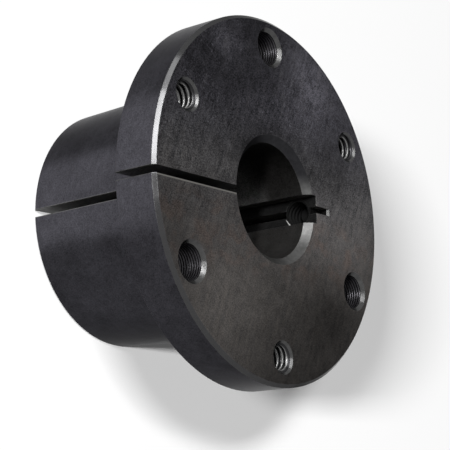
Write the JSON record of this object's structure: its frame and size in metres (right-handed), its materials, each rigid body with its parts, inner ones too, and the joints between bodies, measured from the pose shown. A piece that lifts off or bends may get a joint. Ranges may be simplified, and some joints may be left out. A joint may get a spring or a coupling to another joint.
{
  "type": "quick disconnect bushing",
  "caption": "Split flanged bushing with a tapered barrel, a keyed bore, drilled and tapped screw holes and a set screw, which locks a hub onto a shaft.",
  "frame": {"origin": "on the axis of the bore, in the plane of the barrel's small end, which the bushing stands on", "axes": "+Z along the bore from the small end to the flange, +X through the keyway and the set screw, the split along -X"},
  "size_m": [0.081, 0.081, 0.046],
  "materials": {
    "bushing": "black oxide over turned steel, satin",
    "set_screw": "black oxide, satin"
  },
  "bodies": {
    "root": {"bushing": "bushing", "set_screw": "set_screw"}
  },
  "joints": []
}
